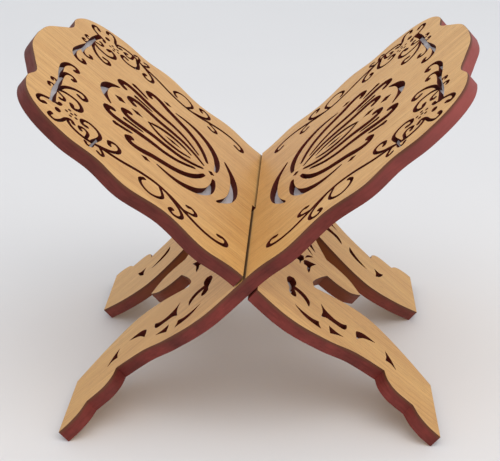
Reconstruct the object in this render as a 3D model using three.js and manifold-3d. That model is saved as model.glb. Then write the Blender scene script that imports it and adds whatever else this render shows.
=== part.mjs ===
// Quran stand (rehal): two congruent boards that cross in an X and hold the open book in the upper V.
// Each board is a glued lamination: face veneer, fretwork sheet, backing sheet and back veneer.
// A slot from one long edge to the middle of each board lets the two slide together along Y.
// Millimetres, +Z up, origin on the floor below the middle of the stand.
// A board's own frame: x along its length, positive up the leaf; y across it; z out of its upper face.

import * as THREE from 'three';
import { mergeVertices } from 'three/addons/utils/BufferGeometryUtils.js';
import Module from 'manifold-3d';

const wasm = await Module();
wasm.setup();

// Driving dimensions
const incline = THREE.MathUtils.degToRad(41.5);
const halfWidth = 103;
const footDepth = 138;
const veneerThickness = 0.6;
const sheetThickness = 3.1;
const glueGap = 0.15;
const slotClearance = 0.45;
const slotOverrun = 2.5;
const outlineSamples = 2;
const strokeSamples = 1;
const dotSides = 5;

// Each layer's upper and lower face, measured down from the board's upper face
const layerThicknesses = [veneerThickness, sheetThickness, sheetThickness, veneerThickness];
const layerTops = layerThicknesses.map((_, i) => (
  layerThicknesses.slice(0, i).reduce((depth, thickness) => depth + thickness + glueGap, 0)
));
const boardThickness = layerTops[3] + veneerThickness;

// The other board crosses at this angle, so its slab takes this stretch of the board's length
const crossingAngle = 2 * incline;
const slotLow = -boardThickness / Math.sin(crossingAngle) - slotClearance;
const slotHigh = boardThickness / Math.tan(crossingAngle) + slotClearance;
const footDrop = footDepth * Math.sin(incline) + boardThickness * Math.cos(incline);

// Half of the board's outline, as [across, along] points. Each list is one smooth stretch between corners.
const halfOutline = [
  // leaf: three lobes at the tip, then the waved side down past the crossing to the first step of the leg
  [[0, 160], [20, 158.3], [38, 151.6], [51, 147], [66, 149], [82, 144.2], [93, 132.5], [98.3, 115],
    [97, 97], [102, 78], [95.7, 53], [102, 28], [98, 6], [103, -29], [94, -56.5], [82, -78], [76, -99]],
  // the two steps of the leg's outer side
  [[76, -99], [84, -101], [89.3, -107], [90, -119]],
  [[90, -119], [97, -123.5], [101, -130.5], [102, -footDepth]],
  // inner side of the leg, up to the top of the gap between the legs
  [[47, -footDepth], [35, -119], [27, -101], [25.3, -88], [30, -71], [41.5, -48]],
  // top of the gap
  [[41.5, -48], [36, -46.8], [24, -51.5], [11.5, -58]],
  // one side of the pendant between the legs
  [[11.5, -58], [11.5, -67], [8.5, -77], [0, -85.5]],
];

// Fretwork strokes: points [across, along] from the curled end to the root, then the widths at the curled
// end, in the middle and at the root
const scrolls = [
  // main stem, from the corner scroll down to the hook beside the crossing
  { path: [[74.3, 20.5], [73, 17], [76, 14.7], [80.5, 16.2], [83.3, 23], [82.6, 32], [78.5, 42],
    [73.5, 52], [71.3, 63], [73.5, 74], [78.5, 86], [81.7, 98], [85.2, 108], [83.8, 116], [79.5, 120]],
  widths: [2.8, 2.9, 2.1] },
  // round loop at the middle of the stem
  { path: [[76.8, 70.2], [81, 72.4], [86.3, 70], [88.5, 65], [86, 59.8], [80.5, 57.3], [71.5, 61]],
    widths: [2.3, 2.1, 1.8] },
  // curl and hook below the loop
  { path: [[86, 50.2], [89, 51.5], [91.3, 48.6], [89.5, 44.8], [85, 43.8], [79, 47.3], [72.5, 56]],
    widths: [2.7, 2.3, 2.2] },
  { path: [[69.2, 42.2], [67.8, 39.4], [70.3, 36.4], [74, 37.6], [77, 44]],
    widths: [2.8, 2.4, 1.8] },
  // curls on the stem's inner side
  { path: [[70.5, 94.4], [67, 95.3], [64.4, 92], [66.5, 88.6], [71.5, 88.6], [77, 92.5], [81.5, 99]],
    widths: [2.7, 2.3, 2.4] },
  { path: [[70.5, 109.3], [71, 112], [67, 113], [64, 109], [65.5, 103.5], [71, 100.5], [82, 103]],
    widths: [2.7, 2.3, 2.6] },
  { path: [[79.5, 111.2], [77.3, 112.5], [75.3, 110], [77.5, 107], [84.5, 106.8]],
    widths: [2.5, 2, 1.8] },
  // short twigs on its outer side
  { path: [[88, 106.3], [90, 104.6], [88, 102.4], [82.5, 102.4]], widths: [2.1, 1.8, 2] },
  { path: [[88.8, 98.2], [89.7, 95.8], [87, 95.1], [82, 98.6]], widths: [2.1, 1.9, 2] },
  // the two scrolls that close the corner
  { path: [[79.2, 115.8], [77.2, 118], [80.5, 120.5], [86.5, 122], [91, 124.8], [90, 128.6], [86.3, 128.2]],
    widths: [2.5, 2, 2.5] },
  { path: [[80.4, 133.6], [83, 136], [80, 138.3], [75.5, 137], [71.8, 132], [70.6, 127.8], [67.8, 127]],
    widths: [2.7, 2.2, 2.5] },
  // stem along the tip, with the curls that spring from it
  { path: [[13, 130.6], [10, 129.2], [7.4, 132], [10, 136], [18, 138], [29, 136.6], [42, 134],
    [58, 133.4], [71.5, 131]], widths: [2.8, 2.7, 3.6] },
  { path: [[27.4, 128.6], [24.7, 127.6], [22.6, 130.5], [25.5, 134], [33, 134.6], [48, 133]],
    widths: [2.8, 2.2, 1.8] },
  { path: [[41, 121.6], [41.7, 118.4], [38, 116.8], [34.8, 120], [37.5, 125.7], [45, 130.5], [54, 132]],
    widths: [2.8, 2.5, 2] },
  { path: [[58.6, 122], [61.7, 120.2], [59, 116.8], [54, 116.4], [49.4, 120.5], [50, 127.5], [54, 132.5]],
    widths: [3, 2.5, 2] },
  { path: [[62.3, 128.4], [60.8, 126.5], [57.8, 127.3], [55.8, 132.5]], widths: [2.7, 2, 1.7] },
  { path: [[55.8, 137.4], [53.5, 138.3], [51.8, 136.6], [53, 133.6]], widths: [2.3, 1.8, 1.7] },
  { path: [[46.6, 137.8], [44.5, 138.4], [43.7, 136.2], [48.5, 132.8]], widths: [2.3, 1.8, 1.7] },
];

// Bold strokes of the palmette in the middle of the leaf
const palmette = [
  // bud
  { path: [[0, 80], [4.6, 73], [6.6, 65], [5.8, 56], [2.6, 49]], widths: [1.6, 3.8, 1.4] },
  // three petals, each with a curled tip
  { path: [[8.2, 92.5], [10.5, 95.8], [14.2, 95], [16, 90], [15, 82.5], [13.6, 74], [13.4, 65], [12, 55],
    [7.6, 45.6], [2.8, 39.5]], widths: [4.2, 5, 2] },
  { path: [[21.6, 102], [24, 105.4], [28, 104.8], [30.2, 100], [29, 92.5], [26.4, 83.5], [24.8, 74],
    [23.8, 64], [19.8, 54], [12, 44.5]], widths: [4.2, 5.2, 2] },
  { path: [[40.2, 85.6], [43.4, 87.4], [46.8, 84.6], [46, 78.5], [41.8, 71], [38.6, 63], [35, 55],
    [28.6, 47], [19.6, 41], [10.5, 37.4]], widths: [4.2, 5.4, 2] },
  // outer leaf
  { path: [[47.6, 66], [48.6, 57], [46.6, 48], [39.5, 38.6], [28.5, 32.4], [17, 30.2], [7.6, 30.4]],
    widths: [1.5, 5.4, 2.2] },
  // drops between the petals
  { path: [[37.4, 97], [35.6, 91.4], [33.2, 86.4]], widths: [4.2, 3.2, 1.2] },
  { path: [[21.8, 93], [21, 87], [19.9, 81]], widths: [3.6, 2.8, 1.2] },
];
const palmetteCrescents = [
  { path: [[-33, 25.4], [-18, 18.2], [0, 15.8], [18, 18.2], [33, 25.4]], widths: [1.4, 5.6, 1.4] },
  { path: [[-16, 105], [-9, 110.4], [0, 112.4], [9, 110.4], [16, 105]], widths: [1.4, 5.2, 1.4] },
];
const lozenges = [
  { at: [0, 101], size: [6.4, 8] },
  { at: [0, 88.5], size: [4.6, 9] },
  { at: [0, 62], size: [3.2, 14] },
  { at: [0, 33], size: [5.4, 4.6] },
];
const sideLozenges = [
  { at: [51.4, 73.6], size: [4.4, 6.2] },
];

// Corner dots: a leaf and a rosette
const leafDot = { at: [77.4, 126.3], size: [4.6, 3.6] };
const rosette = { at: [69.8, 119.3], petalRadius: 0.95, ringRadius: 3.3, petals: 5 };

// Openings of the leg: each is a closed outline of smooth stretches of [across, along] points between corners
const legOpenings = [
  // horn beside the outer edge
  [[[82.3, -33.5], [86.6, -39], [87.8, -45], [86.5, -52.4]], [[86.5, -52.4], [83.6, -51], [80.5, -50.6]],
    [[80.5, -50.6], [82.8, -46], [83.3, -40], [82.3, -33.5]]],
  // small triangle below it
  [[[83.2, -59], [79, -58.5], [75.4, -58.4]], [[75.4, -58.4], [76, -63], [75, -68.8]],
    [[75, -68.8], [78.4, -64.4], [83.2, -59]]],
  // bird-shaped opening near the crossing
  [[[72, -43.6], [66, -44.2], [62, -42], [60.3, -38], [60.6, -33.2]],
    [[60.6, -33.2], [57, -34.1], [53.5, -33.9], [51.3, -32.4]],
    [[51.3, -32.4], [53.5, -29.2], [58.5, -27.5], [63.5, -28.4], [67.8, -29.7], [71.6, -29.3],
      [74, -31.6], [72.6, -34], [69.5, -34.4], [65, -33]],
    [[65, -33], [65.4, -37], [67.7, -40.8], [72, -43.6]]],
  // waisted bar
  [[[72, -52.6], [64, -53.8], [56.2, -52.6]], [[56.2, -52.6], [59.8, -56], [61.8, -62], [60.8, -67.5],
    [57.4, -71.8]], [[57.4, -71.8], [62, -71.4], [66, -68.6], [67.4, -62], [68.6, -56.3], [72, -52.6]]],
  // sliver towards the inner edge
  [[[64, -79.2], [59, -78.8], [54.8, -79.6], [51.3, -84], [50.2, -89], [50.4, -94]],
    [[50.4, -94], [53.6, -88.6], [57.6, -83.6], [64, -79.2]]],
  // triangle above the foot
  [[[62, -101.2], [56.5, -102.2], [50.6, -101.6]], [[50.6, -101.6], [54.6, -104.9], [59, -107.2],
    [64, -109]], [[64, -109], [61.3, -105.4], [62, -101.2]]],
];
const pendantOpenings = [
  // wing
  [[[28, -43.4], [24.5, -42.1], [20.8, -42.4]], [[20.8, -42.4], [21.2, -39.8]],
    [[21.2, -39.8], [16.8, -39.6], [13.2, -41.8], [11, -45], [8.5, -49]],
    [[8.5, -49], [13, -46.9], [18, -44.9], [24, -44.3], [28, -43.4]]],
  // leaf above the wing
  [[[25, -36.8], [22.4, -36.2], [21, -36.4]], [[21, -36.4], [22, -34]],
    [[22, -34], [17, -34.3], [13.3, -36], [10.5, -39.2]],
    [[10.5, -39.2], [14, -39.6], [17.5, -38.8], [20.5, -37.4], [25, -36.8]]],
  // sliver beside the middle
  [[[11, -40.6], [6, -41.9], [3, -43.8], [0.8, -47]], [[0.8, -47], [3.8, -45], [6.4, -43.2], [11, -40.6]]],
];

const mirror = (points) => points.map(([across, along]) => [-across, along]);
const toVectors = (points) => points.map(([across, along]) => new THREE.Vector2(along, across));

// A smooth line through the points, with this many samples for each span between two of them
function smoothLine(points, samples) {
  const curve = new THREE.SplineCurve(toVectors(points));
  return curve.getPoints(Math.ceil((points.length - 1) * samples));
}

// Width at a share of the stroke's length, easing from one end to the middle and on to the other end
function widthAt(share, [start, middle, end]) {
  const swell = Math.sin(Math.PI * share);
  return (start * (1 - share) + end * share) * (1 - swell) + middle * swell;
}

function strokeOutline({ path, widths }) {
  const line = smoothLine(path, strokeSamples);
  const last = line.length - 1;
  const left = [];
  const right = [];
  line.forEach((point, i) => {
    const ahead = line[Math.min(i + 1, last)];
    const behind = line[Math.max(i - 1, 0)];
    const normal = ahead.clone().sub(behind).normalize().rotateAround(new THREE.Vector2(), Math.PI / 2);
    normal.multiplyScalar(widthAt(i / last, widths) / 2);
    left.push(point.clone().add(normal));
    right.push(point.clone().sub(normal));
  });
  return [...left, ...right.reverse()];
}

function dotOutline([across, along], radiusAcross, radiusAlong, sides = dotSides) {
  const outline = [];
  for (let i = 0; i < sides; i += 1) {
    const turn = 2 * Math.PI * i / sides;
    const reach = new THREE.Vector2(radiusAlong * Math.sin(turn), radiusAcross * Math.cos(turn));
    outline.push(reach.add(new THREE.Vector2(along, across)));
  }
  return outline;
}

const lozengeOutline = ({ at, size }) => dotOutline(at, size[0] / 2, size[1] / 2, 4);

// A dot in the middle and a ring of petals round it
function rosetteOutlines([across, along]) {
  const { petalRadius, ringRadius, petals } = rosette;
  const dots = [[across, along]];
  for (let i = 0; i < petals; i += 1) {
    const turn = 2 * Math.PI * i / petals;
    dots.push([across + ringRadius * Math.cos(turn), along + ringRadius * Math.sin(turn)]);
  }
  return dots.map((dot) => dotOutline(dot, petalRadius, petalRadius));
}

// A straight prism over an outline, between two depths below the board's upper face
function prism(outline, top, bottom) {
  const shape = new THREE.Shape(outline);
  const geometry = new THREE.ExtrudeGeometry(shape, { depth: bottom - top, bevelEnabled: false });
  geometry.translate(0, 0, -bottom);
  return geometry;
}

function toSolid(geometry) {
  geometry.deleteAttribute('normal');
  geometry.deleteAttribute('uv');
  const merged = mergeVertices(geometry, 1e-4);
  return new wasm.Manifold(new wasm.Mesh({
    numProp: 3,
    vertProperties: Float32Array.from(merged.attributes.position.array),
    triVerts: Uint32Array.from(merged.index.array),
  }));
}

function toGeometry(solid) {
  const mesh = solid.getMesh();
  const geometry = new THREE.BufferGeometry();
  geometry.setAttribute('position', new THREE.BufferAttribute(mesh.vertProperties, 3));
  geometry.setIndex(new THREE.BufferAttribute(mesh.triVerts, 1));
  geometry.computeVertexNormals();
  return geometry;
}

// One outline from smooth stretches that follow each other, with no point twice
function closedOutline(stretches) {
  const outline = stretches.flatMap((stretch) => smoothLine(stretch, outlineSamples));
  return outline.filter((point, i) => point.distanceTo(outline[(i + 1) % outline.length]) > 1e-3);
}

function boardOutline() {
  const otherHalf = halfOutline.map((stretch) => mirror(stretch).reverse()).reverse();
  return closedOutline([...halfOutline, ...otherHalf]);
}

function slotOutline() {
  const openEnd = halfWidth + 5;
  return [
    new THREE.Vector2(slotLow, -slotOverrun),
    new THREE.Vector2(slotHigh, -slotOverrun),
    new THREE.Vector2(slotHigh, openEnd),
    new THREE.Vector2(slotLow, openEnd),
  ];
}

// Every opening of the fretwork, as outlines
function fretworkOutlines() {
  const outlines = [];
  for (const side of [1, -1]) {
    const place = (points) => (side > 0 ? points : mirror(points));
    for (const stroke of [...scrolls, ...palmette]) {
      outlines.push(strokeOutline({ ...stroke, path: place(stroke.path) }));
    }
    for (const lozenge of sideLozenges) {
      outlines.push(lozengeOutline({ ...lozenge, at: place([lozenge.at])[0] }));
    }
    for (const opening of [...legOpenings, ...pendantOpenings]) {
      outlines.push(closedOutline(opening.map(place)));
    }
    outlines.push(dotOutline(place([leafDot.at])[0], leafDot.size[0] / 2, leafDot.size[1] / 2));
    outlines.push(...rosetteOutlines(place([rosette.at])[0]));
  }
  palmetteCrescents.forEach((crescent) => outlines.push(strokeOutline(crescent)));
  lozenges.forEach((lozenge) => outlines.push(lozengeOutline(lozenge)));
  return outlines;
}

function layerGeometry(top, thickness, withFretwork) {
  const bottom = top + thickness;
  let sheet = toSolid(prism(boardOutline(), top, bottom));
  sheet = sheet.subtract(toSolid(prism(slotOutline(), top - 1, bottom + 1)));
  if (withFretwork) {
    for (const outline of fretworkOutlines()) {
      sheet = sheet.subtract(toSolid(prism(outline, top - 1, bottom + 1)));
    }
  }
  return toGeometry(sheet);
}

const woodMaterial = () => new THREE.MeshStandardMaterial({ color: 0xd6ae7a, roughness: 0.55, metalness: 0 });
const paintMaterial = () => new THREE.MeshStandardMaterial({ color: 0x7a3034, roughness: 0.6, metalness: 0 });

const layers = [
  { name: 'face_veneer', fretwork: true, material: woodMaterial },
  { name: 'fretwork_sheet', fretwork: true, material: paintMaterial },
  { name: 'backing_sheet', fretwork: false, material: paintMaterial },
  { name: 'back_veneer', fretwork: false, material: woodMaterial },
];
const layerGeometries = layers.map((layer, i) => (
  layerGeometry(layerTops[i], layerThicknesses[i], layer.fretwork)
));

function makeBoard(name) {
  const board = new THREE.Group();
  layers.forEach((layer, i) => {
    const mesh = new THREE.Mesh(layerGeometries[i], layer.material());
    mesh.name = `${name}_${layer.name}`;
    board.add(mesh);
  });
  board.rotation.y = -incline;
  return board;
}

// The second board is the first one turned half round about the upright axis
const boardA = makeBoard('board_a');
const boardB = new THREE.Group();
boardB.add(makeBoard('board_b'));
boardB.rotation.z = Math.PI;

const stand = new THREE.Group();
stand.add(boardA, boardB);
stand.position.z = footDrop;

export default stand;
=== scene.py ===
"""Looks of a quran stand: two laminated boards that cross in an X, with fretwork, on a pale studio floor.

Outlines are in millimetres and Blender's own sizes in metres. A board's own frame has x along its length,
positive up the leaf, y across it and z out of its upper face. Its origin is on the line where the upper
faces of the two boards meet.
"""

import math

import bmesh
import bpy
import numpy as np
from mathutils import Matrix, Vector
from mathutils.geometry import delaunay_2d_cdt


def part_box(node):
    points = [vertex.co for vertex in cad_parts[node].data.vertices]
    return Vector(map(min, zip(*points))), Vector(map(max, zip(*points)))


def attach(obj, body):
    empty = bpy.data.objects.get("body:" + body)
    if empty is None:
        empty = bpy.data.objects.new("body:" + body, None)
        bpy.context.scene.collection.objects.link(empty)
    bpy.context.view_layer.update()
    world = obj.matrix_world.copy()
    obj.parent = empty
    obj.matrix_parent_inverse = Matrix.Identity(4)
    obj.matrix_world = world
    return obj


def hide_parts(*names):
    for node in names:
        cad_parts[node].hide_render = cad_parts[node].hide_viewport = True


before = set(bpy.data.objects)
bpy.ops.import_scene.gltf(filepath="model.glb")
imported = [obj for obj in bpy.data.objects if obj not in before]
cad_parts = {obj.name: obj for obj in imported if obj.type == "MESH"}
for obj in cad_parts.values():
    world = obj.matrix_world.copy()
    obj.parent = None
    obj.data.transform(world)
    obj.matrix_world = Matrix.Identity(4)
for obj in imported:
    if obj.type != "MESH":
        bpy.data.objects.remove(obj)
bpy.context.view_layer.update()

MM = 0.001

# Driving dimensions of a board, in millimetres
INCLINE = math.radians(41.5)
HALF_WIDTH = 103
LEAF_LENGTH = 160
FOOT_DEPTH = 138
LAYER_THICKNESS = {"face_veneer": 0.6, "fretwork_sheet": 3.1, "backing_sheet": 3.1, "back_veneer": 0.6}
GLUE_GAP = 0.15
SLOT_CLEARANCE = 0.45
SLOT_OVERRUN = 2.5
SLOT_RUN_OUT = 5
ARRIS = 0.14

# Fineness of the curves
OUTLINE_SAMPLES = 8
STROKE_SAMPLES = 5
DISC_SIDES = 14
SHARP_ANGLE = math.radians(28)

# Points closer than this count as one: in outlines and in the cutting in millimetres, in a mesh in metres
SAME_POINT = 1e-3
CUT_TOLERANCE = 1e-5
WELD_DISTANCE = 1e-7

# Half of the board's outline, as [across, along] points. Each list is one smooth stretch between corners.
HALF_OUTLINE = [
    # leaf: three lobes at the tip, then the waved side down past the crossing to the first step of the leg
    [(0, LEAF_LENGTH), (20, 158.3), (38, 151.6), (51, 147), (66, 149), (82, 144.2), (93, 132.5), (98.3, 115),
     (97, 97), (102, 78), (95.7, 53), (102, 28), (98, 6), (103, -29), (94, -56.5), (82, -78), (76, -99)],
    # the two steps of the leg's outer side
    [(76, -99), (84, -101), (89.3, -107), (90, -119)],
    [(90, -119), (97, -123.5), (101, -130.5), (102, -FOOT_DEPTH)],
    # inner side of the leg, up to the top of the gap between the legs
    [(47, -FOOT_DEPTH), (35, -119), (27, -101), (25.3, -88), (30, -71), (41.5, -48)],
    # top of the gap
    [(41.5, -48), (36, -46.8), (24, -51.5), (11.5, -58)],
    # one side of the pendant between the legs
    [(11.5, -58), (11.5, -67), (8.5, -77), (0, -85.5)],
]

# Fretwork strokes: points [across, along] from the curled end to the root, then the widths at the curled
# end, in the middle and at the root
SCROLLS = [
    # main stem, from the corner scroll down to the hook beside the crossing
    ([(74.3, 20.5), (73, 17), (76, 14.7), (80.5, 16.2), (83.3, 23), (82.6, 32), (78.5, 42), (73.5, 52),
      (71.3, 63), (73.5, 74), (78.5, 86), (81.7, 98), (85.2, 108), (83.8, 116), (79.5, 120)],
     (2.8, 2.9, 2.1)),
    # round loop at the middle of the stem
    ([(76.8, 70.2), (81, 72.4), (86.3, 70), (88.5, 65), (86, 59.8), (80.5, 57.3), (71.5, 61)],
     (2.3, 2.1, 1.8)),
    # curl and hook below the loop
    ([(86, 50.2), (89, 51.5), (91.3, 48.6), (89.5, 44.8), (85, 43.8), (79, 47.3), (72.5, 56)],
     (2.7, 2.3, 2.2)),
    ([(69.2, 42.2), (67.8, 39.4), (70.3, 36.4), (74, 37.6), (77, 44)], (2.8, 2.4, 1.8)),
    # curls on the stem's inner side
    ([(70.5, 94.4), (67, 95.3), (64.4, 92), (66.5, 88.6), (71.5, 88.6), (77, 92.5), (81.5, 99)],
     (2.7, 2.3, 2.4)),
    ([(70.5, 109.3), (71, 112), (67, 113), (64, 109), (65.5, 103.5), (71, 100.5), (82, 103)],
     (2.7, 2.3, 2.6)),
    ([(79.5, 111.2), (77.3, 112.5), (75.3, 110), (77.5, 107), (84.5, 106.8)], (2.5, 2, 1.8)),
    # short twigs on its outer side
    ([(88, 106.3), (90, 104.6), (88, 102.4), (82.5, 102.4)], (2.1, 1.8, 2)),
    ([(88.8, 98.2), (89.7, 95.8), (87, 95.1), (82, 98.6)], (2.1, 1.9, 2)),
    # the two scrolls that close the corner
    ([(79.2, 115.8), (77.2, 118), (80.5, 120.5), (86.5, 122), (91, 124.8), (90, 128.6), (86.3, 128.2)],
     (2.5, 2, 2.5)),
    ([(80.4, 133.6), (83, 136), (80, 138.3), (75.5, 137), (71.8, 132), (70.6, 127.8), (67.8, 127)],
     (2.7, 2.2, 2.5)),
    # stem along the tip, with the curls that spring from it
    ([(13, 130.6), (10, 129.2), (7.4, 132), (10, 136), (18, 138), (29, 136.6), (42, 134), (58, 133.4),
      (71.5, 131)], (2.8, 2.7, 3.6)),
    ([(27.4, 128.6), (24.7, 127.6), (22.6, 130.5), (25.5, 134), (33, 134.6), (48, 133)], (2.8, 2.2, 1.8)),
    ([(41, 121.6), (41.7, 118.4), (38, 116.8), (34.8, 120), (37.5, 125.7), (45, 130.5), (54, 132)],
     (2.8, 2.5, 2)),
    ([(58.6, 122), (61.7, 120.2), (59, 116.8), (54, 116.4), (49.4, 120.5), (50, 127.5), (54, 132.5)],
     (3, 2.5, 2)),
    ([(62.3, 128.4), (60.8, 126.5), (57.8, 127.3), (55.8, 132.5)], (2.7, 2, 1.7)),
    ([(55.8, 137.4), (53.5, 138.3), (51.8, 136.6), (53, 133.6)], (2.3, 1.8, 1.7)),
    ([(46.6, 137.8), (44.5, 138.4), (43.7, 136.2), (48.5, 132.8)], (2.3, 1.8, 1.7)),
]

# Bold strokes of the palmette in the middle of the leaf
PALMETTE = [
    # bud
    ([(0, 80), (4.6, 73), (6.6, 65), (5.8, 56), (2.6, 49)], (1.6, 3.8, 1.4)),
    # three petals, each with a curled tip
    ([(8.2, 92.5), (10.5, 95.8), (14.2, 95), (16, 90), (15, 82.5), (13.6, 74), (13.4, 65), (12, 55),
      (7.6, 45.6), (2.8, 39.5)], (4.2, 5, 2)),
    ([(21.6, 102), (24, 105.4), (28, 104.8), (30.2, 100), (29, 92.5), (26.4, 83.5), (24.8, 74),
      (23.8, 64), (19.8, 54), (12, 44.5)], (4.2, 5.2, 2)),
    ([(40.2, 85.6), (43.4, 87.4), (46.8, 84.6), (46, 78.5), (41.8, 71), (38.6, 63), (35, 55), (28.6, 47),
      (19.6, 41), (10.5, 37.4)], (4.2, 5.4, 2)),
    # outer leaf
    ([(47.6, 66), (48.6, 57), (46.6, 48), (39.5, 38.6), (28.5, 32.4), (17, 30.2), (7.6, 30.4)],
     (1.5, 5.4, 2.2)),
    # drops between the petals
    ([(37.4, 97), (35.6, 91.4), (33.2, 86.4)], (4.2, 3.2, 1.2)),
    ([(21.8, 93), (21, 87), (19.9, 81)], (3.6, 2.8, 1.2)),
]
PALMETTE_CRESCENTS = [
    ([(-33, 25.4), (-18, 18.2), (0, 15.8), (18, 18.2), (33, 25.4)], (1.4, 5.6, 1.4)),
    ([(-16, 105), (-9, 110.4), (0, 112.4), (9, 110.4), (16, 105)], (1.4, 5.2, 1.4)),
]

# Lozenges and corner dots: centre, then the size across and along
LOZENGES = [((0, 101), (6.4, 8)), ((0, 88.5), (4.6, 9)), ((0, 62), (3.2, 14)), ((0, 33), (5.4, 4.6))]
SIDE_LOZENGES = [((51.4, 73.6), (4.4, 6.2))]
LEAF_DOT = ((77.4, 126.3), (4.6, 3.6))
ROSETTE_CENTRE = (69.8, 119.3)
ROSETTE_PETALS = 5
PETAL_SIZE = 1.9
ROSETTE_RADIUS = 3.3

# Openings of the leg and the pendant: smooth stretches of [across, along] points between corners
LEG_OPENINGS = [
    # horn beside the outer edge
    [[(82.3, -33.5), (86.6, -39), (87.8, -45), (86.5, -52.4)], [(86.5, -52.4), (83.6, -51), (80.5, -50.6)],
     [(80.5, -50.6), (82.8, -46), (83.3, -40), (82.3, -33.5)]],
    # small triangle below it
    [[(83.2, -59), (79, -58.5), (75.4, -58.4)], [(75.4, -58.4), (76, -63), (75, -68.8)],
     [(75, -68.8), (78.4, -64.4), (83.2, -59)]],
    # bird-shaped opening near the crossing
    [[(72, -43.6), (66, -44.2), (62, -42), (60.3, -38), (60.6, -33.2)],
     [(60.6, -33.2), (57, -34.1), (53.5, -33.9), (51.3, -32.4)],
     [(51.3, -32.4), (53.5, -29.2), (58.5, -27.5), (63.5, -28.4), (67.8, -29.7), (71.6, -29.3),
      (74, -31.6), (72.6, -34), (69.5, -34.4), (65, -33)],
     [(65, -33), (65.4, -37), (67.7, -40.8), (72, -43.6)]],
    # waisted bar
    [[(72, -52.6), (64, -53.8), (56.2, -52.6)],
     [(56.2, -52.6), (59.8, -56), (61.8, -62), (60.8, -67.5), (57.4, -71.8)],
     [(57.4, -71.8), (62, -71.4), (66, -68.6), (67.4, -62), (68.6, -56.3), (72, -52.6)]],
    # sliver towards the inner edge
    [[(64, -79.2), (59, -78.8), (54.8, -79.6), (51.3, -84), (50.2, -89), (50.4, -94)],
     [(50.4, -94), (53.6, -88.6), (57.6, -83.6), (64, -79.2)]],
    # triangle above the foot
    [[(62, -101.2), (56.5, -102.2), (50.6, -101.6)],
     [(50.6, -101.6), (54.6, -104.9), (59, -107.2), (64, -109)],
     [(64, -109), (61.3, -105.4), (62, -101.2)]],
]
PENDANT_OPENINGS = [
    # wing
    [[(28, -43.4), (24.5, -42.1), (20.8, -42.4)], [(20.8, -42.4), (21.2, -39.8)],
     [(21.2, -39.8), (16.8, -39.6), (13.2, -41.8), (11, -45), (8.5, -49)],
     [(8.5, -49), (13, -46.9), (18, -44.9), (24, -44.3), (28, -43.4)]],
    # leaf above the wing
    [[(25, -36.8), (22.4, -36.2), (21, -36.4)], [(21, -36.4), (22, -34)],
     [(22, -34), (17, -34.3), (13.3, -36), (10.5, -39.2)],
     [(10.5, -39.2), (14, -39.6), (17.5, -38.8), (20.5, -37.4), (25, -36.8)]],
    # sliver beside the middle
    [[(11, -40.6), (6, -41.9), (3, -43.8), (0.8, -47)], [(0.8, -47), (3.8, -45), (6.4, -43.2), (11, -40.6)]],
]


# ---- Outlines, as arrays of (across, along) points in millimetres

def mirrored(points):
    return [(-across, along) for across, along in points]


def smooth_line(points, samples):
    """A uniform Catmull-Rom curve through the points, with this many samples to each span."""
    knots = np.array(points, float)
    padded = np.vstack([knots[:1], knots, knots[-1:]])
    slopes = (padded[2:] - padded[:-2]) / 2
    share = (np.arange(samples) / samples)[:, None]
    spans = []
    for start, end, slope_in, slope_out in zip(knots, knots[1:], slopes, slopes[1:]):
        bend = (2 * start - 2 * end + slope_in + slope_out) * share**3
        lean = (3 * end - 3 * start - 2 * slope_in - slope_out) * share**2
        spans.append(bend + lean + slope_in * share + start)
    return np.vstack(spans + [knots[-1:]])


def closed_outline(stretches):
    """One outline from smooth stretches that follow each other, with no point twice."""
    points = np.vstack([smooth_line(stretch, OUTLINE_SAMPLES) for stretch in stretches])
    steps = np.linalg.norm(np.roll(points, -1, axis=0) - points, axis=1)
    return points[steps > SAME_POINT]


def ellipse(centre, size, sides):
    turns = 2 * np.pi * np.arange(sides) / sides
    return np.array(centre) + np.column_stack([np.cos(turns), np.sin(turns)]) * np.array(size) / 2


def width_at(share, widths):
    """Width at a share of the stroke's length, easing from one end to the middle and on to the other end."""
    start, middle, end = widths
    swell = np.sin(np.pi * share)
    return (start * (1 - share) + end * share) * (1 - swell) + middle * swell


def round_link(corners):
    """The corners in order round their middle, so that a link in a tight curl doesn't cross itself."""
    corners = np.array(corners)
    arms = corners - corners.mean(axis=0)
    return corners[np.argsort(np.arctan2(arms[:, 1], arms[:, 0]))]


def stroke_outlines(path, widths):
    """A stroke as a chain of four-sided links, with a disc at each end."""
    line = smooth_line(path, STROKE_SAMPLES)
    slope = np.gradient(line, axis=0)
    normal = np.column_stack([-slope[:, 1], slope[:, 0]]) / np.linalg.norm(slope, axis=1)[:, None]
    half = width_at(np.linspace(0, 1, len(line)), widths)[:, None] / 2
    left = line + normal * half
    right = line - normal * half
    links = [round_link([left[i], right[i], right[i + 1], left[i + 1]]) for i in range(len(line) - 1)]
    discs = [ellipse(line[i], (2 * half[i, 0], 2 * half[i, 0]), DISC_SIDES) for i in (0, -1)]
    return links + discs


def board_outline():
    other_half = [mirrored(stretch)[::-1] for stretch in HALF_OUTLINE[::-1]]
    return closed_outline(HALF_OUTLINE + other_half)


def slot_outline(thickness):
    """The other board crosses here: its slab takes this stretch of the board's length."""
    low = -thickness / math.sin(2 * INCLINE) - SLOT_CLEARANCE
    high = thickness / math.tan(2 * INCLINE) + SLOT_CLEARANCE
    open_end = HALF_WIDTH + SLOT_RUN_OUT
    return np.array([(-SLOT_OVERRUN, low), (open_end, low), (open_end, high), (-SLOT_OVERRUN, high)])


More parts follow.
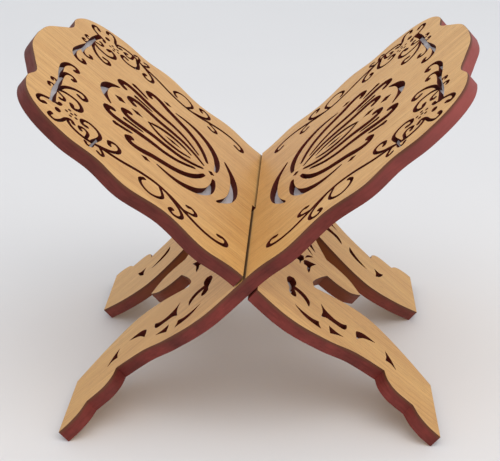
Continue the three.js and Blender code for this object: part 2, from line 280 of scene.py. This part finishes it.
def fretwork_outlines():
    outlines = []
    for place in (list, mirrored):
        for path, widths in SCROLLS + PALMETTE:
            outlines += stroke_outlines(place(path), widths)
        for centre, size in SIDE_LOZENGES:
            outlines.append(ellipse(place([centre])[0], size, 4))
        for opening in LEG_OPENINGS + PENDANT_OPENINGS:
            outlines.append(closed_outline([place(stretch) for stretch in opening]))
        outlines.append(ellipse(place([LEAF_DOT[0]])[0], LEAF_DOT[1], DISC_SIDES))
        centre = np.array(place([ROSETTE_CENTRE])[0])
        petal = (PETAL_SIZE, PETAL_SIZE)
        ring = ellipse(centre, (2 * ROSETTE_RADIUS, 2 * ROSETTE_RADIUS), ROSETTE_PETALS)
        outlines += [ellipse(spot, petal, DISC_SIDES) for spot in [centre, *ring]]
    for path, widths in PALMETTE_CRESCENTS:
        outlines += stroke_outlines(path, widths)
    for centre, size in LOZENGES:
        outlines.append(ellipse(centre, size, 4))
    return outlines


# ---- Sheets

# What delaunay_2d_cdt is asked for: triangles of what lies inside the outlines
TRIANGLES_INSIDE = 1

# A corner is mitred in full if its two walls' unit normals add up to at least this, squared: 4 is no corner
FULL_MITRE = 1.5


def signed_area(outline):
    following = np.roll(outline, -1, axis=0)
    return np.sum(outline[:, 0] * following[:, 1] - following[:, 0] * outline[:, 1]) / 2


def cut_sheet(outline, openings):
    """Triangles of the sheet left when the openings are cut from the outline, as (points, triangles)."""
    points = []
    faces = []
    for shape in [outline, *openings]:
        ring = shape if signed_area(shape) > 0 else shape[::-1]
        faces.append(list(range(len(points), len(points) + len(ring))))
        points += [Vector((along, across)) for across, along in ring]
    faces = [face[::-1] for face in faces]
    spots, _, triangles, _, _, sources = delaunay_2d_cdt(
        points, [], faces, TRIANGLES_INSIDE, CUT_TOLERANCE, True)
    kept = [tuple(triangle) for triangle, shapes in zip(triangles, sources) if list(shapes) == [0]]
    return np.array([tuple(spot) for spot in spots]), np.array(kept)


def largest_island(triangles):
    """Leaves out crumbs: triangles that don't hang together with the sheet."""
    parent = {}

    def root(i):
        while parent.setdefault(i, i) != i:
            parent[i] = parent[parent[i]]
            i = parent[i]
        return i

    for a, b, c in triangles:
        parent[root(a)] = root(b)
        parent[root(b)] = root(c)
    roots = np.array([root(a) for a, _, _ in triangles])
    names, counts = np.unique(roots, return_counts=True)
    return triangles[roots == names[np.argmax(counts)]]


def rim_edges(triangles):
    """Directed edges of the sheet's rim, with the sheet on their left."""
    edges = np.vstack([triangles[:, [0, 1]], triangles[:, [1, 2]], triangles[:, [2, 0]]])
    present = {tuple(edge) for edge in edges.tolist()}
    return np.array([edge for edge in edges.tolist() if (edge[1], edge[0]) not in present])


def rim_insets(spots, rim):
    """Unit step from each rim point into the sheet, lengthened at corners but held back at the sharpest."""
    along = spots[rim[:, 1]] - spots[rim[:, 0]]
    inward = np.column_stack([-along[:, 1], along[:, 0]]) / np.linalg.norm(along, axis=1)[:, None]
    total = np.zeros_like(spots)
    for end in (0, 1):
        np.add.at(total, rim[:, end], inward)
    size = np.sum(total**2, axis=1)
    return 2 * total / np.maximum(size, FULL_MITRE)[:, None]


def on_outline(spots, rim, outline):
    """Which rim edges lie on the board's outline, and not on an opening."""
    middle = (spots[rim[:, 0]] + spots[rim[:, 1]]) / 2
    start = outline[:, ::-1]
    run = np.roll(start, -1, axis=0) - start
    found = []
    for point in middle:
        share = np.clip(np.sum((point - start) * run, axis=1) / np.sum(run**2, axis=1), 0, 1)
        gap = np.linalg.norm(start + run * share[:, None] - point, axis=1)
        found.append(gap.min() < SAME_POINT)
    return np.array(found)


# Material slots of a layer: its faces, the walls of its openings and its outer edge
SURFACE, CUT, EDGE = range(3)


def sheet_mesh(name, sheet, outline, top, bottom, arris_up, arris_down):
    """A closed sheet between two depths, with a small chamfer on the arrises that show."""
    spots, triangles = sheet
    rim = rim_edges(triangles)
    inset = rim_insets(spots, rim)
    count = len(spots)
    lowest = 3 * count
    rings = [
        (spots + inset * arris_up, -top),
        (spots, -top - arris_up),
        (spots, -bottom + arris_down),
        (spots + inset * arris_down, -bottom),
    ]
    points = np.vstack([np.column_stack([flat, np.full(count, height)]) for flat, height in rings])
    faces = [tuple(t) for t in triangles.tolist()]
    faces += [tuple(i + lowest for i in t[::-1]) for t in triangles.tolist()]
    kinds = [SURFACE] * len(faces)
    wall_kind = np.where(on_outline(spots, rim, outline), EDGE, CUT).tolist()
    spans = [(0, 1)] * (arris_up > 0) + [(1, 2)] + [(2, 3)] * (arris_down > 0)
    for upper, lower in spans:
        for (a, b), kind in zip(rim.tolist(), wall_kind):
            faces.append((a + lower * count, b + lower * count, b + upper * count, a + upper * count))
            kinds.append(kind)
    mesh = bpy.data.meshes.new(name)
    mesh.from_pydata(points * MM, [], faces)
    mesh.polygons.foreach_set("material_index", kinds)
    mesh.polygons.foreach_set("use_smooth", [True] * len(faces))
    return mesh


def tidy_mesh(mesh):
    """Merges points that share a place, drops loose ones and keeps the arrises crisp."""
    work = bmesh.new()
    work.from_mesh(mesh)
    bmesh.ops.remove_doubles(work, verts=work.verts, dist=WELD_DISTANCE)
    loose = [v for v in work.verts if not v.link_faces]
    bmesh.ops.delete(work, geom=loose, context="VERTS")
    work.to_mesh(mesh)
    work.free()
    mesh.set_sharp_from_angle(angle=SHARP_ANGLE)


# ---- Materials

class Nodes:
    """A small builder for node materials.

    A noise's scale is in lumps per metre along, across and out of the board, and a bump's distance in metres.
    """

    def __init__(self, name):
        self.material = bpy.data.materials.new(name)
        self.material.use_nodes = True
        self.tree = self.material.node_tree
        self.shader = self.tree.nodes["Principled BSDF"]
        coordinates = self.tree.nodes.new("ShaderNodeTexCoord")
        self.place = coordinates.outputs["Object"]

    def link(self, source, target):
        self.tree.links.new(source, target)

    def put(self, socket, value):
        if isinstance(value, bpy.types.NodeSocket):
            self.link(value, socket)
        else:
            socket.default_value = value

    def math(self, operation, first, second=0.0):
        node = self.tree.nodes.new("ShaderNodeMath")
        node.operation = operation
        self.put(node.inputs[0], first)
        self.put(node.inputs[1], second)
        return node.outputs[0]

    def stretched(self, scale, shift=None):
        """Place in the board's own frame, with each axis scaled."""
        node = self.tree.nodes.new("ShaderNodeMapping")
        node.inputs["Scale"].default_value = scale
        self.link(self.place, node.inputs["Vector"])
        if shift is not None:
            self.link(shift, node.inputs["Location"])
        return node.outputs["Vector"]

    def axes(self):
        """Place in the board's own frame, as three numbers in metres."""
        node = self.tree.nodes.new("ShaderNodeSeparateXYZ")
        self.link(self.place, node.inputs["Vector"])
        return node.outputs

    def board_number(self):
        """0 on the first board and 1 on the second."""
        return self.tree.nodes.new("ShaderNodeObjectInfo").outputs["Object Index"]

    def noise(self, scale, detail, roughness, distortion=0.0, shift=None):
        node = self.tree.nodes.new("ShaderNodeTexNoise")
        self.link(self.stretched(scale, shift), node.inputs["Vector"])
        node.inputs["Scale"].default_value = 1.0
        node.inputs["Detail"].default_value = detail
        node.inputs["Roughness"].default_value = roughness
        node.inputs["Distortion"].default_value = distortion
        return node.outputs["Fac"]

    def between(self, value, low, high, out_low=0.0, out_high=1.0):
        """Value carried from one range to another, held at its ends."""
        node = self.tree.nodes.new("ShaderNodeMapRange")
        self.put(node.inputs["Value"], value)
        ends = (("From Min", low), ("From Max", high), ("To Min", out_low), ("To Max", out_high))
        for socket, number in ends:
            node.inputs[socket].default_value = number
        return node.outputs["Result"]

    def mix(self, share, first, second, blend="MIX"):
        node = self.tree.nodes.new("ShaderNodeMix")
        node.data_type = "RGBA"
        node.blend_type = blend
        self.put(node.inputs["Factor"], share)
        colours = [socket for socket in node.inputs if socket.type == "RGBA"]
        self.put(colours[0], first)
        self.put(colours[1], second)
        return [socket for socket in node.outputs if socket.type == "RGBA"][0]

    def bump(self, height, strength, distance):
        node = self.tree.nodes.new("ShaderNodeBump")
        node.inputs["Strength"].default_value = strength
        node.inputs["Distance"].default_value = distance
        self.link(height, node.inputs["Height"])
        self.link(node.outputs["Normal"], self.shader.inputs["Normal"])

    def finish(self, colour, roughness, specular):
        self.put(self.shader.inputs["Base Color"], colour)
        self.put(self.shader.inputs["Roughness"], roughness)
        self.shader.inputs["Specular IOR Level"].default_value = specular
        return self.material


def srgb(red, green, blue):
    """A colour given as 0 to 255 sRGB values, as linear RGBA by the sRGB standard's own curve."""
    share = np.array([red, green, blue]) / 255
    linear = np.where(share <= 0.04045, share / 12.92, ((share + 0.055) / 1.055) ** 2.4)
    return (*linear.tolist(), 1.0)


def per_board_shift(nodes):
    """A shift by the board's number, so that the two boards don't have the same figure."""
    shift_per_board = 7.3
    combine = nodes.tree.nodes.new("ShaderNodeCombineXYZ")
    step = nodes.math("MULTIPLY", nodes.board_number(), shift_per_board)
    for axis in ("X", "Y"):
        nodes.link(step, combine.inputs[axis])
    return combine.outputs["Vector"]


def wood_material(name, light, dark, streak):
    """Lacquered veneer: broad bands, fine straight grain and short dark pores, with painted shade that makes
    it darker and warmer towards the fold and the legs.

    A painted shadow darkens the joint at the crossing, less of it on the second board.
    """
    fold_shade_tint = (0.89, 0.85, 0.6, 1.0)
    joint_middle = -0.0008
    joint_core = 0.0007
    joint_reach = 0.0012
    nodes = Nodes(name)
    shift = per_board_shift(nodes)
    bands = nodes.noise((6, 60, 6), detail=4, roughness=0.6, distortion=0.3, shift=shift)
    grain = nodes.noise((16, 1100, 16), detail=4, roughness=0.65, shift=shift)
    lines = nodes.noise((9, 430, 9), detail=5, roughness=0.7, shift=shift)
    pores = nodes.noise((160, 2800, 160), detail=2, roughness=0.5, shift=shift)
    clouds = nodes.noise((30, 45, 30), detail=4, roughness=0.65, shift=shift)
    tone = nodes.mix(nodes.between(bands, 0.36, 0.66), light, dark)
    tone = nodes.mix(nodes.between(lines, 0.5, 0.66, 0.0, 0.3), tone, streak)
    tone = nodes.mix(nodes.between(grain, 0.47, 0.66, 0.0, 0.5), tone, streak)
    tone = nodes.mix(nodes.between(clouds, 0.4, 0.75, 0.0, 0.4), tone, dark)
    fleck = nodes.between(pores, 0.56, 0.68, 0.0, 0.5)
    tone = nodes.mix(fleck, tone, streak)
    along, _, _ = nodes.axes()
    # painted shade: darker and warmer from the fold down the legs, for the shade in the trough and under the
    # leaves
    painted_fold_shade = nodes.between(along, 0.03, -0.06, 0.0, 0.5)
    tone = nodes.mix(painted_fold_shade, tone, fold_shade_tint, "MULTIPLY")
    # painted shadow along the joint at the crossing, half as strong on the second board; it also makes the
    # joint rougher
    off_joint = nodes.math("ABSOLUTE", nodes.math("SUBTRACT", along, joint_middle))
    painted_joint_shadow = nodes.between(off_joint, joint_core, joint_reach, 0.85, 0.0)
    less_shadow = nodes.math("MULTIPLY", nodes.board_number(), 0.5)
    painted_joint_shadow = nodes.math("MULTIPLY", painted_joint_shadow, nodes.math("SUBTRACT", 1.0, less_shadow))
    tone = nodes.mix(painted_joint_shadow, tone, srgb(62, 36, 14))
    relief = nodes.math("SUBTRACT", grain, nodes.math("MULTIPLY", fleck, 0.8))
    nodes.bump(relief, strength=0.12, distance=0.00006)
    gloss = nodes.between(grain, 0.3, 0.7, 0.42, 0.54)
    roughness = nodes.math("ADD", gloss, nodes.math("MULTIPLY", painted_joint_shadow, 0.4))
    return nodes.finish(tone, roughness, specular=0.42)


def cut_material():
    """Walls of the cut-outs: scorched dark brown."""
    nodes = Nodes("scorched_cut")
    streaks = nodes.noise((1500, 1500, 90), detail=3, roughness=0.6)
    colour = nodes.mix(nodes.between(streaks, 0.35, 0.7), srgb(96, 30, 16), srgb(62, 18, 10))
    nodes.bump(streaks, strength=0.3, distance=0.00008)
    return nodes.finish(colour, nodes.between(streaks, 0.3, 0.7, 0.7, 0.86), specular=0.2)


def edge_material():
    """Outer edges: matte maroon paint, brown under the upper arris and thin in the gap between the legs.

    It has painted shade on the leaves, most of all on the second board's, and a painted highlight at the tip
    of the first board.
    """
    nodes = Nodes("painted_edge")
    patches = nodes.noise((60, 60, 60), detail=4, roughness=0.6)
    brush = nodes.noise((140, 140, 900), detail=3, roughness=0.6)
    paint = nodes.mix(nodes.between(patches, 0.35, 0.7), srgb(125, 50, 43), srgb(92, 37, 31))
    paint = nodes.mix(nodes.between(brush, 0.45, 0.75, 0.0, 0.5), paint, srgb(75, 28, 22))
    along, across, height = nodes.axes()
    uneven = nodes.math("SUBTRACT", patches, 0.5)
    second = nodes.board_number()
    first = nodes.math("SUBTRACT", 1.0, second)
    on_leaf = nodes.between(along, -0.03, 0.03)
    # painted shade: the edges on the leaves darker, the second board's most
    painted_leaf_shade = nodes.math("MULTIPLY", on_leaf, nodes.math("ADD", nodes.math("MULTIPLY", second, 0.2), 0.25))
    # painted highlight: the edge lighter towards the tip of the first board
    painted_tip_light = nodes.math("MULTIPLY", first, nodes.between(along, 0.06, 0.15, 0.0, 0.5))
    paint = nodes.mix(painted_leaf_shade, paint, srgb(73, 33, 26))
    paint = nodes.mix(painted_tip_light, paint, srgb(176, 92, 88))
    from_middle = nodes.math("ABSOLUTE", across)
    inner = nodes.between(from_middle, 0.056, 0.046)
    legs = nodes.between(along, -0.025, -0.035)
    pendant = nodes.between(from_middle, 0.026, 0.014, 1.0, 0.5)
    reach = nodes.math("ADD", along, nodes.math("MULTIPLY", uneven, 0.05))
    thin = nodes.between(reach, -0.112, -0.07, 0.1, 0.85)
    bare = nodes.math("MULTIPLY", inner, legs)
    for share in (thin, pendant):
        bare = nodes.math("MULTIPLY", bare, share)
    paint = nodes.mix(bare, paint, srgb(128, 72, 32))
    depth = nodes.math("ADD", height, nodes.math("MULTIPLY", uneven, 0.0012))
    band = nodes.between(depth, -0.0022, -0.0006)
    colour = nodes.mix(band, paint, srgb(96, 56, 38))
    nodes.bump(brush, strength=0.15, distance=0.0001)
    return nodes.finish(colour, nodes.between(brush, 0.3, 0.7, 0.58, 0.72), specular=0.25)


def pocket_material():
    """Faces of the backing sheet: a smooth grey film. The upper one shows in the cut-outs."""
    nodes = Nodes("grey_film")
    clouds = nodes.noise((90, 90, 90), detail=3, roughness=0.6)
    colour = nodes.mix(nodes.between(clouds, 0.35, 0.7), srgb(206, 200, 204), srgb(188, 182, 186))
    nodes.bump(clouds, strength=0.05, distance=0.00005)
    return nodes.finish(colour, nodes.between(clouds, 0.3, 0.7, 0.4, 0.5), specular=0.4)


def core_material():
    """Faces of the fretwork sheet, which lie against their neighbours."""
    nodes = Nodes("sheet_core")
    fibres = nodes.noise((700, 700, 700), detail=3, roughness=0.6)
    colour = nodes.mix(fibres, srgb(120, 84, 58), srgb(94, 62, 42))
    nodes.bump(fibres, strength=0.2, distance=0.00005)
    return nodes.finish(colour, roughness=0.8, specular=0.25)


# ---- Boards

def layer_faces():
    """Depths of each layer's upper and lower face. Neighbours meet in the middle of the CAD's glue gap."""
    grow = GLUE_GAP / 2
    first, *_, last = LAYER_THICKNESS
    faces = {}
    depth = 0
    for name, thickness in LAYER_THICKNESS.items():
        top = depth - grow * (name != first)
        bottom = depth + thickness + grow * (name != last)
        faces[name] = (top, bottom)
        depth += thickness + GLUE_GAP
    return faces


def layer_meshes():
    faces = layer_faces()
    thickness = faces["back_veneer"][1]
    outline = board_outline()
    slot = slot_outline(thickness)
    plain = cut_sheet(outline, [slot])
    pierced = cut_sheet(outline, [slot, *fretwork_outlines()])
    pierced = (pierced[0], largest_island(pierced[1]))
    cut = cut_material()
    edge = edge_material()
    veneer = wood_material("face_wood", srgb(221, 174, 105), srgb(208, 157, 89), srgb(150, 97, 46))
    back = wood_material("back_wood", srgb(214, 170, 112), srgb(201, 155, 98), srgb(146, 98, 54))
    surfaces = {
        "face_veneer": (pierced, veneer),
        "fretwork_sheet": (pierced, core_material()),
        "backing_sheet": (plain, pocket_material()),
        "back_veneer": (plain, back),
    }
    meshes = {}
    for name, (sheet, surface) in surfaces.items():
        arris_up = ARRIS * (name == "face_veneer")
        arris_down = ARRIS * (name == "back_veneer")
        mesh = sheet_mesh(name, sheet, outline, *faces[name], arris_up, arris_down)
        tidy_mesh(mesh)
        for material in (surface, cut, edge):
            mesh.materials.append(material)
        meshes[name] = mesh
    return meshes


def fold_height():
    """Height of the line where the upper faces meet, from the top of the CAD's leaf."""
    leaf_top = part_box("board_a_face_veneer")[1].z
    return leaf_top - LEAF_LENGTH * MM * math.sin(INCLINE)


def make_boards(height):
    meshes = layer_meshes()
    for index, (board, turn) in enumerate((("board_a", 0), ("board_b", math.pi))):
        upright = Matrix.Translation((0, 0, height)) @ Matrix.Rotation(turn, 4, "Z")
        for layer, mesh in meshes.items():
            node = f"{board}_{layer}"
            piece = bpy.data.objects.new(f"{node}_detailed", mesh)
            bpy.context.collection.objects.link(piece)
            piece.matrix_world = upright @ Matrix.Rotation(-INCLINE, 4, "Y")
            piece.pass_index = index
            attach(piece, board)
            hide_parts(node)


# ---- Studio

def make_camera(height):
    """The photograph's viewpoint, as turns about the middle of the line where the upper faces meet."""
    yaw = math.radians(-3.17)
    elevation = math.radians(22.53)
    roll = math.radians(-0.99)
    distance = 0.679
    aim_right = -0.0025
    aim_up = -0.0126
    forward = 0.0014
    level = Vector((math.sin(yaw), math.cos(yaw), 0))
    look = math.cos(elevation) * level - Vector((0, 0, math.sin(elevation)))
    right = Vector((math.cos(yaw), -math.sin(yaw), 0))
    up = right.cross(look)
    place = Vector((0, -forward, height)) - distance * look + aim_right * right + aim_up * up
    turned_right = math.cos(roll) * right + math.sin(roll) * up
    turned_up = math.cos(roll) * up - math.sin(roll) * right
    data = bpy.data.cameras.new("camera")
    data.sensor_width = 36
    data.lens = 82.8
    camera = bpy.data.objects.new("camera", data)
    bpy.context.collection.objects.link(camera)
    axes = Matrix((turned_right, turned_up, -look)).transposed().to_4x4()
    camera.matrix_world = Matrix.Translation(place) @ axes
    bpy.context.scene.camera = camera


def make_floor():
    reach = 6.0
    mesh = bpy.data.meshes.new("floor")
    corners = [(-reach, -reach, 0), (reach, -reach, 0), (reach, reach, 0), (-reach, reach, 0)]
    mesh.from_pydata(corners, [], [(0, 1, 2, 3)])
    floor = bpy.data.objects.new("floor", mesh)
    bpy.context.collection.objects.link(floor)
    nodes = Nodes("studio_floor")
    clouds = nodes.noise((3, 3, 3), detail=3, roughness=0.5)
    colour = nodes.mix(clouds, srgb(232, 232, 233), srgb(226, 226, 228))
    mesh.materials.append(nodes.finish(colour, roughness=0.7, specular=0.2))


LAMP_COLOUR = (1.08, 1.0, 0.92)
SKY_COLOUR = (0.98, 1.0, 1.025, 1.0)


def area_light(name, place, target, size, power):
    data = bpy.data.lights.new(name, "AREA")
    data.shape = "SQUARE"
    data.size = size
    data.energy = power
    data.color = LAMP_COLOUR
    light = bpy.data.objects.new(name, data)
    bpy.context.collection.objects.link(light)
    light.location = place
    light.rotation_euler = (Vector(target) - Vector(place)).to_track_quat("-Z", "Y").to_euler()


def make_lights():
    """Bright even surroundings, a soft light above the front and a weak one from the right."""
    world = bpy.data.worlds.new("studio")
    world.use_nodes = True
    background = world.node_tree.nodes["Background"]
    background.inputs["Color"].default_value = SKY_COLOUR
    background.inputs["Strength"].default_value = 0.87
    bpy.context.scene.world = world
    middle = (0, 0, 0.1)
    area_light("overhead", place=(0.2, -0.6, 1.2), target=middle, size=1.0, power=4.0)
    area_light("side", place=(0.9, -0.6, 0.9), target=middle, size=0.8, power=1.4)
    bpy.context.scene.view_settings.view_transform = "Standard"


fold = fold_height()
make_camera(fold)
make_boards(fold)
make_floor()
make_lights()
